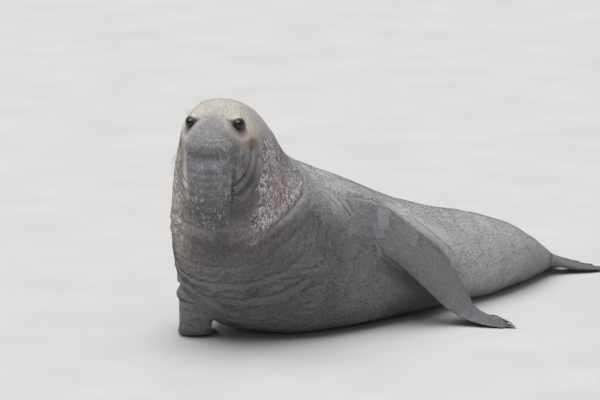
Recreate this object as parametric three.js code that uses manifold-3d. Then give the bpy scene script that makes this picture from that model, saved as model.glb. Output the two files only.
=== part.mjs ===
// A bull elephant seal at life size, lying on its belly with the chest and neck raised and the
// head turned to its left. Millimetres, +Z up. The head points to -Y, the tail to +Y and the
// animal's left side to +X. The origin is under the middle of the finished animal, on the floor.
//
// Head, neck and body are first laid out along a straight spine, where Y is the distance behind
// the eyes, and then turned to the left by turned(). The flippers are laid out as they stand.

import * as THREE from 'three';
import { mergeVertices } from 'three/addons/utils/BufferGeometryUtils.js';
import Module from 'manifold-3d';

const wasm = await Module();
wasm.setup();

// Driving dimensions
const GAP = 0.3; // between neighbours that touch
const NECK_TURN = THREE.MathUtils.degToRad(34); // of the head against the trunk of the body
const TURN_START = 1050; // behind the eyes, where the spine starts to turn
const TURN_END = 150; // behind the eyes, where the head's own heading is reached
const EYE_RADIUS = 36;
const EYE_CENTRE = [138, 12, 1384];
const EYE_GAZE = [0.46, -0.88, 0.08];
const LID_RADIUS = 47;
const LID_SINK = 4; // the lids' ball lies this far behind the eyeball's middle
const LID_OPENING = [33, 30]; // half width and half height
const EAR_PLACE = [100, 1390]; // behind the eyes, height
const EAR_SIZE = [22, 9, 6];
const LIPS = [ // rolls along the mouth line: how far behind it and above it, radius, how far sunk
  { shift: [-15, 14], radius: 13, sink: 5 },
  { shift: [24, -22], radius: 21, sink: 12 },
];
const CREASES = [ // the mouth itself, and the crease behind the lower lip
  { shift: [0, 0], radius: 6, sink: 0 },
  { shift: [50, -47], radius: 7, sink: 2 },
];
const NOSE_SWAY = 12; // of the hanging tip of the proboscis, to the left
const NOSTRIL_PLACE = [34, -150, 782];
const NOSTRIL_SIZE = [15, 24, 34];
const CLAW_ROOT = 0.9; // the share of its digit's length at which a claw starts
const CLAW_REACH = 28; // beyond the end of the digit
const CLAW_RADIUS = 7.5;
const CLAW_ARCH = 6; // how much it rises and falls on its way
const DIGITS = 5;
const DIGIT_RIDGE = 0.3; // how much thicker a flipper is on a digit than between two
const WEB_NOTCH = 0.075; // how deep the webs end between the digits, of the flipper's length

// The body's rings, from the front of the muzzle to the rump: the top and bottom of each as
// [behind the eyes, height], half its width, how square it is (2 is round), and how far down
// its widest level lies.
const BODY = [
  { top: [-112, 1080], bottom: [-112, 1080], half: 0, square: 2.2, widest: 0.5 },
  { top: [-108, 1150], bottom: [-95, 975], half: 105, square: 2.2, widest: 0.5 },
  { top: [-98, 1225], bottom: [-80, 925], half: 132, square: 2.2, widest: 0.5 },
  { top: [-75, 1310], bottom: [-60, 885], half: 156, square: 2.2, widest: 0.5 },
  { top: [-38, 1398], bottom: [-38, 848], half: 178, square: 2.4, widest: 0.48 },
  { top: [25, 1465], bottom: [-10, 805], half: 200, square: 2.7, widest: 0.48 },
  { top: [122, 1500], bottom: [15, 745], half: 235, square: 2.8, widest: 0.5 },
  { top: [228, 1490], bottom: [32, 680], half: 268, square: 2.7, widest: 0.54 },
  { top: [348, 1445], bottom: [45, 620], half: 297, square: 2.7, widest: 0.54 },
  { top: [470, 1357], bottom: [62, 550], half: 322, square: 2.6, widest: 0.55 },
  { top: [585, 1250], bottom: [94, 462], half: 340, square: 2.3, widest: 0.56 },
  { top: [705, 1163], bottom: [144, 387], half: 372, square: 2.1, widest: 0.54 },
  { top: [850, 1088], bottom: [228, 288], half: 416, square: 2.1, widest: 0.54 },
  { top: [1020, 1014], bottom: [365, 155], half: 460, square: 2.2, widest: 0.55 },
  { top: [1200, 942], bottom: [625, 24], half: 494, square: 2.4, widest: 0.57 },
  { top: [1450, 830], bottom: [1080, -14], half: 502, square: 2.6, widest: 0.6 },
  { top: [1760, 705], bottom: [1640, -14], half: 482, square: 2.6, widest: 0.6 },
  { top: [2040, 614], bottom: [2040, -12], half: 445, square: 2.6, widest: 0.6 },
  { top: [2440, 520], bottom: [2440, -12], half: 380, square: 2.5, widest: 0.6 },
  { top: [2750, 424], bottom: [2750, -8], half: 295, square: 2.4, widest: 0.58 },
  { top: [2950, 327], bottom: [2950, 0], half: 225, square: 2.3, widest: 0.55 },
  { top: [3100, 230], bottom: [3090, 15], half: 165, square: 2.2, widest: 0.5 },
  { top: [3200, 158], bottom: [3190, 35], half: 110, square: 2.1, widest: 0.5 },
  { top: [3250, 92], bottom: [3250, 92], half: 0, square: 2, widest: 0.5 },
];

// The proboscis, from its root between the eyes to its hanging tip: here the top of a ring is
// its front and the bottom its back.
const PROBOSCIS = [
  { top: [30, 1452], bottom: [30, 1452], half: 0, square: 2.1, widest: 0.5 },
  { top: [-8, 1440], bottom: [0, 1200], half: 90, square: 2.1, widest: 0.5 },
  { top: [-72, 1405], bottom: [-40, 1200], half: 128, square: 2.2, widest: 0.5 },
  { top: [-136, 1355], bottom: [-60, 1190], half: 148, square: 2.2, widest: 0.5 },
  { top: [-178, 1300], bottom: [-70, 1165], half: 156, square: 2.3, widest: 0.5 },
  { top: [-190, 1258], bottom: [-75, 1140], half: 151, square: 2.3, widest: 0.5 },
  { top: [-174, 1220], bottom: [-78, 1115], half: 137, square: 2.3, widest: 0.5 },
  { top: [-192, 1170], bottom: [-80, 1080], half: 138, square: 2.3, widest: 0.5 },
  { top: [-203, 1110], bottom: [-82, 1035], half: 134, square: 2.3, widest: 0.5 },
  { top: [-204, 1040], bottom: [-82, 990], half: 129, square: 2.3, widest: 0.5 },
  { top: [-202, 970], bottom: [-80, 935], half: 123, square: 2.3, widest: 0.5 },
  { top: [-193, 890], bottom: [-70, 870], half: 117, square: 2.3, widest: 0.5 },
  { top: [-178, 825], bottom: [-64, 808], half: 108, square: 2.3, widest: 0.5 },
  { top: [-154, 785], bottom: [-82, 776], half: 78, square: 2.2, widest: 0.5 },
  { top: [-116, 768], bottom: [-116, 768], half: 0, square: 2, widest: 0.5 },
];

// Where the skin swells or sinks: the middle [side, behind the eyes, height], how far the
// swelling reaches each way, and how high it rises. Each is made on both sides.
const SWELLS = [
  { name: 'cheek', at: [190, 60, 1180], reach: [110, 110, 110], rise: 4 },
  { name: 'jowl', at: [200, 150, 960], reach: [130, 130, 150], rise: 10 },
  { name: 'crown', at: [0, 130, 1490], reach: [110, 110, 90], rise: 10 },
  { name: 'shoulder', at: [455, 1250, 660], reach: [240, 260, 230], rise: 42 },
  { name: 'armpit', at: [480, 1480, 420], reach: [200, 160, 190], rise: -22 },
  { name: 'underarm', at: [240, 520, 320], reach: [150, 180, 110], rise: -30 },
  { name: 'haunch', at: [300, 2650, 280], reach: [180, 260, 170], rise: 20 },
];

// Folds across the throat and the front of the neck: height, half width up and down, depth.
const FOLDS = [
  { height: 770, width: 30, depth: 11 },
  { height: 640, width: 34, depth: 11 },
  { height: 500, width: 38, depth: 9 },
  { height: 350, width: 40, depth: 8 },
];

// Cuts that part the body into its sub-parts, seen from the side as [behind the eyes, height].
const MUZZLE_CUT = [[10, 1520], [-30, 1415], [-78, 1260], [-92, 1050], [-88, 985], [-68, 915],
  [-46, 845], [-30, 700]];
const MOUTH_LINE = [[-91, 1032], [-56, 1064], [-16, 1108], [12, 1170], [24, 1214]];
const MOUTH_CUT = [...MOUTH_LINE, [-25, 740]];
const NAPE_CUT = [[300, 1600], [30, 600]];
const WITHERS_CUT = [[940, 1180], [90, 0]];
const CHEST_CUT = [[1520, 1100], [1520, -100]];
const LOIN_CUT = [[2360, 800], [2360, -100]];
const CUT_REACH = 900;

// The flippers' stations from root to tip: the middle, the direction across towards the
// leading edge, half the width and half the thickness.
const FORE_LEFT = [
  { at: [210, 980, 680], across: [0.3, -0.72, -0.62], half: 60, thick: 60 },
  { at: [352, 1180, 680], across: [0.37, -0.68, -0.62], half: 120, thick: 88 },
  { at: [455, 1360, 590], across: [0.36, -0.72, -0.58], half: 160, thick: 80 },
  { at: [548, 1520, 430], across: [0.3, -0.82, -0.48], half: 156, thick: 62 },
  { at: [606, 1672, 272], across: [0.28, -0.88, -0.32], half: 149, thick: 46 },
  { at: [650, 1785, 130], across: [0.36, -0.9, -0.14], half: 143, thick: 34 },
  { at: [705, 1842, 48], across: [0.56, -0.82, -0.02], half: 141, thick: 27 },
  { at: [790, 1893, 20], across: [0.62, -0.78, 0], half: 140, thick: 19 },
  { at: [862, 1943, 9], across: [0.6, -0.8, 0], half: 137, thick: 14 },
  { at: [925, 1985, 5], across: [0.58, -0.81, 0], half: 132, thick: 11 },
];
const FORE_RIGHT = [
  { at: [-100, 520, 520], across: [-0.3, -0.9, -0.3], half: 104, thick: 74 },
  { at: [-112, 396, 425], across: [-0.42, -0.86, -0.25], half: 132, thick: 86 },
  { at: [-105, 338, 312], across: [-0.55, -0.8, -0.15], half: 132, thick: 84 },
  { at: [-102, 322, 196], across: [-0.62, -0.78, -0.1], half: 117, thick: 67 },
  { at: [-114, 322, 94], across: [-0.67, -0.74, 0], half: 109, thick: 48 },
  { at: [-148, 350, 38], across: [-0.68, -0.73, 0], half: 112, thick: 32 },
  { at: [-214, 422, 17], across: [-0.68, -0.73, 0], half: 122, thick: 21 },
  { at: [-290, 498, 10], across: [-0.68, -0.73, 0], half: 126, thick: 15 },
  { at: [-366, 572, 5], across: [-0.68, -0.73, 0], half: 122, thick: 11 },
];
const HIND_LEFT = [
  { at: [50, 3040, 130], across: [0.9, 0.1, -0.3], half: 60, thick: 55 },
  { at: [72, 3160, 108], across: [0.92, 0.1, -0.3], half: 66, thick: 46 },
  { at: [96, 3280, 72], across: [0.95, 0.05, -0.22], half: 82, thick: 34 },
  { at: [118, 3390, 40], across: [0.98, 0, -0.1], half: 106, thick: 24 },
  { at: [140, 3500, 18], across: [1, 0, 0], half: 128, thick: 16 },
  { at: [158, 3600, 6], across: [1, 0, 0], half: 140, thick: 11 },
];
const TAIL = { root: [0, 3150, 130], tip: [0, 3365, 66], half: [38, 26] };

// How far each digit reaches, from the leading edge, and how deep the webs between them cut.
const FORE_REACH = [1, 0.98, 0.94, 0.89, 0.83];
const HIND_REACH = [1, 0.86, 0.8, 0.86, 0.99];

const COLOURS = {
  tan: 0xa3978a,
  grey: 0x77757a,
  scarred: 0x82766f,
  dark: 0x4c4749,
  flank: 0xa09890,
  flipper: 0x6a6468,
  eye: 0x14120f,
  claw: 0x2c2724,
};

// Turning to the left

const SPINE_STEP = 10;
const SPINE_FRONT = -500;

// How far the spine has turned to the left, at a distance behind the eyes.
function heading(y) {
  return NECK_TURN * THREE.MathUtils.smoothstep(TURN_START - y, 0, TURN_START - TURN_END);
}

const spine = [new THREE.Vector2(0, TURN_START)];
for (let y = TURN_START; y > SPINE_FRONT; y -= SPINE_STEP) {
  const angle = heading(y - SPINE_STEP / 2);
  const ahead = new THREE.Vector2(Math.sin(angle), -Math.cos(angle));
  spine.push(spine.at(-1).clone().addScaledVector(ahead, SPINE_STEP));
}

// A point of the straight layout, moved to where it lies on the turned animal.
function turned(point) {
  if (point.y >= TURN_START) return point.clone();
  const steps = (TURN_START - point.y) / SPINE_STEP;
  const step = Math.min(Math.floor(steps), spine.length - 2);
  const middle = spine[step].clone().lerp(spine[step + 1], steps - step);
  const angle = heading(point.y);
  const left = new THREE.Vector2(Math.cos(angle), Math.sin(angle));
  middle.addScaledVector(left, point.x);
  return new THREE.Vector3(middle.x, middle.y, point.z);
}

// Closed shapes

const vector = (values) => new THREE.Vector3(...values);

// A closed skin: a sphere's grid of points, each moved to place(around, along), both 0 to 1.
function drape(place, around, along) {
  const geometry = new THREE.SphereGeometry(1, around, along);
  const position = geometry.getAttribute('position');
  for (let i = 0; i < position.count; i += 1) {
    const column = (i % (around + 1)) % around;
    const row = Math.floor(i / (around + 1));
    position.setXYZ(i, ...place(column / around, row / along).toArray());
  }
  return geometry;
}

// A surface through rings: gives the point at (around, along), moved out by grow.
function loft(rings, grow = 0) {
  const line = (end) => new THREE.CatmullRomCurve3(rings.map((ring) => vector([0, ...ring[end]])));
  const girths = rings.map((ring) => vector([ring.half, ring.square, ring.widest]));
  const girth = new THREE.CatmullRomCurve3(girths, false, 'catmullrom', 0.5);
  const [topLine, bottomLine] = [line('top'), line('bottom')];
  return (around, along) => {
    const top = topLine.getPoint(along);
    const bottom = bottomLine.getPoint(along);
    const [half, square, widest] = girth.getPoint(along).toArray();
    const angle = around * 2 * Math.PI;
    const power = 2 / square;
    const across = Math.sign(Math.sin(angle)) * Math.abs(Math.sin(angle)) ** power;
    const rise = Math.sign(Math.cos(angle)) * Math.abs(Math.cos(angle)) ** power;
    const drop = (1 - rise) / 2;
    const depth = drop + 4 * (widest - 0.5) * drop * (1 - drop);
    const point = top.clone().lerp(bottom, depth).setX(Math.max(half, 0) * across);
    const middle = top.clone().lerp(bottom, 0.5);
    const out = point.clone().sub(middle);
    if (out.lengthSq() > 1) point.addScaledVector(out.normalize(), grow);
    return point;
  };
}

// The body's own surface in the straight layout, with its swells and folds.
function bodySurface(grow = 0) {
  const plain = loft(BODY, grow);
  const line = new THREE.CatmullRomCurve3(BODY.map((ring) => {
    return vector([0, ...ring.top]).lerp(vector([0, ...ring.bottom]), 0.5);
  }));
  return (around, along) => {
    const point = plain(around, along);
    const out = point.clone().sub(line.getPoint(along)).normalize();
    const swell = SWELLS.reduce((sum, { at, reach, rise }) => {
      const offset = [Math.abs(point.x) - at[0], point.y - at[1], point.z - at[2]];
      return sum + rise * Math.exp(-offset.reduce((square, d, i) => square + (d / reach[i]) ** 2, 0));
    }, 0);
    const front = THREE.MathUtils.smoothstep(-out.y, 0.1, 0.6);
    const fold = FOLDS.reduce((sum, { height, width, depth }) => {
      return sum - depth * Math.exp(-(((point.z - height) / width) ** 2));
    }, 0);
    return point.addScaledVector(out, swell + fold * front);
  };
}

// The point of the body's left side at a distance behind the eyes and a height, found by
// looking closer and closer round the nearest point so far.
const SEARCH_PASSES = 14;
const SEARCH_STEPS = 4;
function onSide(y, z) {
  const surface = bodySurface();
  let [around, along, span] = [0.25, 0.4, 0.25];
  for (let pass = 0; pass < SEARCH_PASSES; pass += 1) {
    let nearest = Infinity;
    const [a0, b0] = [around, along];
    for (let i = -SEARCH_STEPS; i <= SEARCH_STEPS; i += 1) {
      for (let j = -SEARCH_STEPS; j <= SEARCH_STEPS; j += 1) {
        const a = THREE.MathUtils.clamp(a0 + (i / SEARCH_STEPS) * span, 0.02, 0.48);
        const b = THREE.MathUtils.clamp(b0 + (j / SEARCH_STEPS) * span * 1.6, 0.01, 0.99);
        const point = surface(a, b);
        const distance = Math.hypot(point.y - y, point.z - z);
        if (distance < nearest) [nearest, around, along] = [distance, a, b];
      }
    }
    span *= 0.5;
  }
  return surface(around, along);
}

// A round limb along a curve, closed at both ends, with its radius given along it.
function limb(curve, radius, around, along) {
  const up = new THREE.Vector3(0, 0, 1);
  return drape((a, t) => {
    const tangent = curve.getTangent(t);
    const side = new THREE.Vector3().crossVectors(tangent, up).normalize();
    const lift = new THREE.Vector3().crossVectors(side, tangent);
    const angle = a * 2 * Math.PI;
    const point = curve.getPoint(t);
    point.addScaledVector(side, radius(t) * Math.cos(angle));
    return point.addScaledVector(lift, radius(t) * Math.sin(angle));
  }, around, along);
}

const roundEnds = (t) => Math.sqrt(Math.max(Math.sin(Math.PI * t), 0)) * (t < 1 ? 1 : 0);

// A ball, or one squashed to three half sizes, in the straight layout.
function ball(centre, radii, around = 24, along = 16) {
  const geometry = new THREE.SphereGeometry(1, around, along);
  return geometry.scale(...radii).translate(...centre);
}

// A flipper: a box's grid moved along its stations, with a ridge for each digit.
function flipperSurface(stations, reaches) {
  const at = new THREE.CatmullRomCurve3(stations.map((station) => vector(station.at)));
  const across = new THREE.CatmullRomCurve3(stations.map((station) => vector(station.across)));
  const sizes = stations.map((station) => vector([station.half, station.thick, 0]));
  const size = new THREE.CatmullRomCurve3(sizes);
  return (s, t, w) => {
    const digit = THREE.MathUtils.clamp(((1 - s) / 2) * DIGITS - 0.5, 0, DIGITS - 1);
    const first = Math.min(Math.floor(digit), DIGITS - 2);
    const reach = THREE.MathUtils.lerp(reaches[first], reaches[first + 1], digit - first);
    const bump = (1 - Math.cos(Math.PI * DIGITS * (s + 1))) / 2;
    const web = WEB_NOTCH * (1 - bump) * THREE.MathUtils.smoothstep(t, 0.5, 1);
    const far = t * (1 - (1 - reach) * THREE.MathUtils.smoothstep(t, 0.4, 1) - web);
    const ridge = 1 + DIGIT_RIDGE * (bump - 0.5) * THREE.MathUtils.smoothstep(far, 0.5, 0.8);
    const taper = Math.sqrt(Math.max(1 - (0.96 * t) ** 8, 0.05));
    const [half, thick] = size.getPoint(far).toArray();
    const tangent = at.getTangent(far);
    const side = across.getPoint(far).addScaledVector(tangent, -across.getPoint(far).dot(tangent));
    side.normalize();
    const lift = new THREE.Vector3().crossVectors(side, tangent);
    const point = at.getPoint(far);
    point.addScaledVector(side, half * s * Math.sqrt(1 - (w * w) / 2));
    return point.addScaledVector(lift, thick * ridge * taper * w * Math.sqrt(1 - (s * s) / 2));
  };
}

function flipper(stations, reaches, rows) {
  const surface = flipperSurface(stations, reaches);
  const geometry = new THREE.BoxGeometry(1, 1, 1, 4 * DIGITS, rows, 2);
  const position = geometry.getAttribute('position');
  for (let i = 0; i < position.count; i += 1) {
    const [s, t, w] = [2 * position.getX(i), position.getY(i) + 0.5, 2 * position.getZ(i)];
    position.setXYZ(i, ...surface(s, t, w).toArray());
  }
  return geometry;
}

// Solids, joins and cuts

function move(geometry, place) {
  const position = geometry.getAttribute('position');
  const point = new THREE.Vector3();
  for (let i = 0; i < position.count; i += 1) {
    position.setXYZ(i, ...place(point.fromBufferAttribute(position, i)).toArray());
  }
  return geometry;
}

function solidOf(geometry) {
  const bare = geometry.clone();
  bare.deleteAttribute('normal');
  bare.deleteAttribute('uv');
  const merged = mergeVertices(bare, 1e-3);
  const { array } = merged.getAttribute('position');
  const corner = (index) => new THREE.Vector3().fromArray(array, 3 * index);
  const triVerts = Uint32Array.from(merged.index.array);
  let volume = 0;
  for (let i = 0; i < triVerts.length; i += 3) {
    const [a, b, c] = [corner(triVerts[i]), corner(triVerts[i + 1]), corner(triVerts[i + 2])];
    volume += a.dot(b.cross(c));
  }
  if (volume < 0) triVerts.reverse();
  return new wasm.Manifold(new wasm.Mesh({ numProp: 3, vertProperties: array, triVerts }));
}

const turnedSolid = (geometry) => solidOf(move(geometry, turned));
const join = (solids) => solids.reduce((sum, solid) => sum.add(solid));
const cut = (solid, tools) => tools.reduce((rest, tool) => rest.subtract(tool), solid);

function largest(solid) {
  const pieces = solid.decompose();
  return pieces.reduce((best, piece) => (piece.volume() > best.volume() ? piece : best));
}

// A thin upright sheet along a line seen from the side, turned with the spine as one flat cut.
function cutSheet(line) {
  const points = line.map(([y, z]) => new THREE.Vector2(y, z));
  const edge = (side) => points.map((point, i) => {
    const before = points[Math.max(i - 1, 0)];
    const after = points[Math.min(i + 1, points.length - 1)];
    const into = point.clone().sub(before).normalize();
    const out = after.clone().sub(point).normalize();
    const along = into.add(out).normalize();
    const inner = i > 0 && i < points.length - 1;
    const corner = inner ? Math.abs(along.dot(out)) : 1;
    const normal = new THREE.Vector2(-along.y, along.x);
    return point.clone().addScaledVector(normal, (side * GAP) / 2 / corner);
  });
  const shape = new THREE.Shape([...edge(1), ...edge(-1).reverse()]);
  const geometry = new THREE.ExtrudeGeometry(shape, { depth: 2 * CUT_REACH, bevelEnabled: false });
  const pivot = line.reduce((sum, [y]) => sum + y, 0) / line.length;
  const middle = turned(new THREE.Vector3(0, pivot, 0));
  const angle = heading(pivot);
  return solidOf(move(geometry, (point) => {
    const [x, y] = [point.z - CUT_REACH, point.x - pivot];
    const left = x * Math.cos(angle) - y * Math.sin(angle);
    const back = x * Math.sin(angle) + y * Math.cos(angle);
    return new THREE.Vector3(middle.x + left, middle.y + back, point.y);
  }));
}

// What lies under the floor is cut away, which leaves the flats that the animal rests on.
const FLOOR_SIZE = [4000, 9000, 500];
const floorBlock = new THREE.BoxGeometry(...FLOOR_SIZE).translate(0, 1500, -FLOOR_SIZE[2] / 2);
const floor = solidOf(floorBlock);

// Head, neck and body

const eyeCentres = [1, -1].map((side) => [side * EYE_CENTRE[0], EYE_CENTRE[1], EYE_CENTRE[2]]);
const gazes = [1, -1].map((side) => vector([side * EYE_GAZE[0], EYE_GAZE[1], EYE_GAZE[2]]).normalize());

// The slit between the lids: a wide lens in front of the eyeball, looking along the gaze.
function lidOpening(centre, gaze) {
  const lens = ball([0, 0, 0], [LID_OPENING[0], LID_OPENING[1], 2 * LID_RADIUS], 16, 6);
  const turn = new THREE.Quaternion().setFromUnitVectors(new THREE.Vector3(0, 0, 1), gaze);
  const middle = vector(centre).addScaledVector(gaze, LID_RADIUS);
  return move(lens, (point) => point.clone().applyQuaternion(turn).add(middle));
}

// The line of the mouth on one side, from its corner forward, lifted to the skin.
const mouthCurve = new THREE.SplineCurve(MOUTH_LINE.map((place) => new THREE.Vector2(...place)));
const mouthPlaces = mouthCurve.getPoints(6);

function alongMouth(side, { shift, radius, sink }) {
  const points = mouthPlaces.map((place) => {
    const point = onSide(place.x + shift[0], place.y + shift[1]);
    return point.setX(side * (point.x - sink));
  });
  const curve = new THREE.CatmullRomCurve3(points);
  return limb(curve, (t) => radius * roundEnds(t), 7, 8);
}

const bodyShape = turnedSolid(drape(bodySurface(), 40, 50));
const bodyClear = turnedSolid(drape(bodySurface(GAP), 40, 50));

// The proboscis hangs a little to the left of the head's own middle.
const SWAY_START = 1160;
const SWAY_END = 860;
function swayed(point) {
  const hang = THREE.MathUtils.smoothstep(SWAY_START - point.z, 0, SWAY_START - SWAY_END);
  return new THREE.Vector3(point.x + NOSE_SWAY * hang, point.y, point.z);
}
const proboscisShape = turnedSolid(move(drape(loft(PROBOSCIS), 24, 25), swayed));
const lidShapes = eyeCentres.map((centre, i) => {
  const sunk = vector(centre).addScaledVector(gazes[i], -LID_SINK).toArray();
  return turnedSolid(ball(sunk, [LID_RADIUS, LID_RADIUS, LID_RADIUS], 16, 10));
});
const bothSides = (rolls) => [1, -1].flatMap((side) => {
  return rolls.map((roll) => turnedSolid(alongMouth(side, roll)));
});
const lipShapes = bothSides(LIPS);
const wholeShape = join([bodyShape, proboscisShape, ...lidShapes, ...lipShapes]);

const sockets = eyeCentres.map((centre) => {
  const radius = EYE_RADIUS + GAP;
  return turnedSolid(ball(centre, [radius, radius, radius], 16, 12));
});
const openings = eyeCentres.map((centre, i) => turnedSolid(lidOpening(centre, gazes[i])));
const mouthCreases = bothSides(CREASES);
const ears = [1, -1].map((side) => {
  const place = onSide(...EAR_PLACE);
  return turnedSolid(ball([side * place.x, place.y, place.z], EAR_SIZE, 8, 6));
});
const nostrils = [1, -1].map((side) => {
  const [x, y, z] = NOSTRIL_PLACE;
  return turnedSolid(ball([side * x + NOSE_SWAY, y, z], NOSTRIL_SIZE, 10, 8));
});
const parted = cut(wholeShape, [
  floor,
  ...sockets,
  ...openings,
  ...mouthCreases,
  ...ears,
  ...nostrils,
  ...[MUZZLE_CUT, MOUTH_CUT, NAPE_CUT, WITHERS_CUT, CHEST_CUT, LOIN_CUT].map(cutSheet),
]);

// Each sub-part is the piece whose middle lies nearest to a given point of the straight layout.
function pieceAt(pieces, place) {
  const target = turned(vector(place));
  const distance = (piece) => {
    const { min, max } = piece.boundingBox();
    const middle = vector(min).add(vector(max)).multiplyScalar(0.5);
    return middle.distanceTo(target);
  };
  return pieces.reduce((best, piece) => (distance(piece) < distance(best) ? piece : best));
}

const SMALLEST_PIECE = 1e5; // cubic millimetres: what is smaller is a loose scrap of the cuts
const bodyPieces = parted.decompose().filter((piece) => piece.volume() > SMALLEST_PIECE);

// Flippers and tail

function rested(geometry) {
  return largest(cut(solidOf(geometry), [bodyClear, floor]));
}

const reflected = HIND_LEFT.map((station) => {
  const { at: [x, y, z], across: [ax, ay, az], half, thick } = station;
  return { at: [-x, y, z], across: [-ax, ay, az], half, thick };
});
const flippers = {
  fore_flipper_left: { stations: FORE_LEFT, reaches: FORE_REACH, rows: 10 },
  fore_flipper_right: { stations: FORE_RIGHT, reaches: FORE_REACH, rows: 11 },
  hind_flipper_left: { stations: HIND_LEFT, reaches: HIND_REACH, rows: 7 },
  hind_flipper_right: { stations: reflected, reaches: HIND_REACH, rows: 7 },
};

function tailShape() {
  const curve = new THREE.LineCurve3(vector(TAIL.root), vector(TAIL.tip));
  const end = (t) => Math.sqrt(Math.max(1 - t ** 4, 0)) * Math.min(1, 40 * t);
  return limb(curve, (t) => THREE.MathUtils.lerp(...TAIL.half, t) * end(t), 12, 6);
}

// A claw at the end of a digit, curving down from its root in the flipper.
function claw(surface, digit) {
  const s = 1 - (2 * digit + 1) / DIGITS;
  const root = surface(s, CLAW_ROOT, 0.35);
  const end = surface(s, 1, 0.2);
  const ahead = end.clone().sub(root).normalize();
  const tip = end.clone().addScaledVector(ahead, CLAW_REACH);
  tip.z = Math.max(1, end.z - CLAW_ARCH);
  const bend = end.clone().add(new THREE.Vector3(0, 0, CLAW_ARCH));
  const curve = new THREE.QuadraticBezierCurve3(root, bend, tip);
  const radius = (t) => CLAW_RADIUS * Math.sqrt(Math.max(0, 1 - t)) * Math.min(1, 20 * t);
  return limb(curve, radius, 6, 5);
}

// The finished group

const group = new THREE.Group();

function add(name, solid, colour, roughness = 0.85) {
  const { vertProperties, triVerts } = solid.getMesh();
  const geometry = new THREE.BufferGeometry();
  geometry.setAttribute('position', new THREE.BufferAttribute(vertProperties, 3));
  geometry.setIndex(new THREE.BufferAttribute(triVerts, 1));
  const material = new THREE.MeshStandardMaterial({ color: colour, roughness, metalness: 0 });
  const mesh = new THREE.Mesh(geometry, material);
  mesh.name = name;
  group.add(mesh);
}

const BODY_PARTS = [
  { name: 'proboscis', near: [0, -140, 1050], colour: COLOURS.grey },
  { name: 'lower_jaw', near: [0, -10, 930], colour: COLOURS.grey },
  { name: 'head', near: [0, 100, 1250], colour: COLOURS.tan },
  { name: 'neck', near: [0, 420, 800], colour: COLOURS.scarred },
  { name: 'chest', near: [0, 1000, 480], colour: COLOURS.scarred },
  { name: 'abdomen', near: [0, 1950, 350], colour: COLOURS.flank },
  { name: 'hindquarters', near: [0, 2800, 250], colour: COLOURS.flank },
];
for (const { name, near, colour } of BODY_PARTS) {
  add(name, pieceAt(bodyPieces, near), colour);
}

const sideNames = ['left', 'right'];
eyeCentres.forEach((centre, i) => {
  const eyeball = turnedSolid(ball(centre, [EYE_RADIUS, EYE_RADIUS, EYE_RADIUS], 16, 12));
  add(`eye_${sideNames[i]}`, eyeball, COLOURS.eye, 0.1);
});

// The shape, and copies moved by the gap each way: what is cut by all of these keeps clear of it.
function clearances(geometry) {
  const steps = [1, -1].flatMap((side) => [[side, 0, 0], [0, side, 0], [0, 0, side]]);
  steps.push([0, 0, 0]);
  return steps.map((step) => solidOf(geometry.clone().translate(...step.map((d) => d * GAP))));
}

const hindClearances = [];
for (const [name, { stations, reaches, rows }] of Object.entries(flippers)) {
  const geometry = flipper(stations, reaches, rows);
  const clear = clearances(geometry);
  if (name.startsWith('hind')) {
    add(name, largest(cut(rested(geometry), hindClearances)), COLOURS.flipper);
    hindClearances.push(...clear);
    continue;
  }
  add(name, rested(geometry), COLOURS.flipper);
  const surface = flipperSurface(stations, reaches);
  for (let digit = 0; digit < DIGITS; digit += 1) {
    const clawSolid = largest(cut(solidOf(claw(surface, digit)), [...clear, floor]));
    add(`claw_${name.replace('fore_flipper_', '')}_${digit + 1}`, clawSolid, COLOURS.claw, 0.4);
  }
}
const tailSolid = cut(solidOf(tailShape()), [bodyClear, floor, ...hindClearances]);
add('tail', largest(tailSolid), COLOURS.flipper);

// The origin goes to the floor, under the middle of the animal.
const box = new THREE.Box3().setFromObject(group);
const middle = box.getCenter(new THREE.Vector3());
group.position.set(-middle.x, -middle.y, -box.min.z);

export default group;
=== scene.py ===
import math

import bmesh
import bpy
import numpy as np
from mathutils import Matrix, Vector


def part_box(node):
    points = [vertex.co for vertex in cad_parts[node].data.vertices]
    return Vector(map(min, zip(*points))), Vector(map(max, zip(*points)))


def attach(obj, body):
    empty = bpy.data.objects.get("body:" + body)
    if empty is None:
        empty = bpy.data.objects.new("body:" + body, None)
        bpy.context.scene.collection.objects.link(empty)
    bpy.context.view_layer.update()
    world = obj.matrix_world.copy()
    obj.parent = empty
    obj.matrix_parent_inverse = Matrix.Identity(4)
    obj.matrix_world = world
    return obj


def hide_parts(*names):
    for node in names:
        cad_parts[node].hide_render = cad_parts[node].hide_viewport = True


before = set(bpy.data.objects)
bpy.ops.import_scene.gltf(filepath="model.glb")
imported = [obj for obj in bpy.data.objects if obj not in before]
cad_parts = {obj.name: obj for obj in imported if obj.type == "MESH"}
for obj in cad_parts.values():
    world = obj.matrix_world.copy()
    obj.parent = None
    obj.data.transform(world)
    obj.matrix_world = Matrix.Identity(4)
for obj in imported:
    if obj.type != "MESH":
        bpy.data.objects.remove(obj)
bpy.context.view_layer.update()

# ---------------------------------------------------------------------------------------------
# Skin: one loose, thick hide over blubber from the nose to the tips of the flippers, with no
# seam. It is shaped over the body's solids, drawn in by the depth of the coat, and then
# folded and creased where a bull's hide folds, mostly at the mouth, the throat and the neck.
# ---------------------------------------------------------------------------------------------
FLESH = [
    "head", "proboscis", "lower_jaw", "neck", "chest", "abdomen", "hindquarters", "tail",
    "fore_flipper_left", "fore_flipper_right", "hind_flipper_left", "hind_flipper_right",
]
EYES = ["eye_left", "eye_right"]
OVERLAP = 0.0012  # each solid's copy is swollen by this, so that neighbours run into each other
LOWEST = 0.0006  # nothing of the hide or the nails comes nearer to the floor
SKIN_CELL = 0.0048
SKIN_TRIANGLES = 196000

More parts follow.
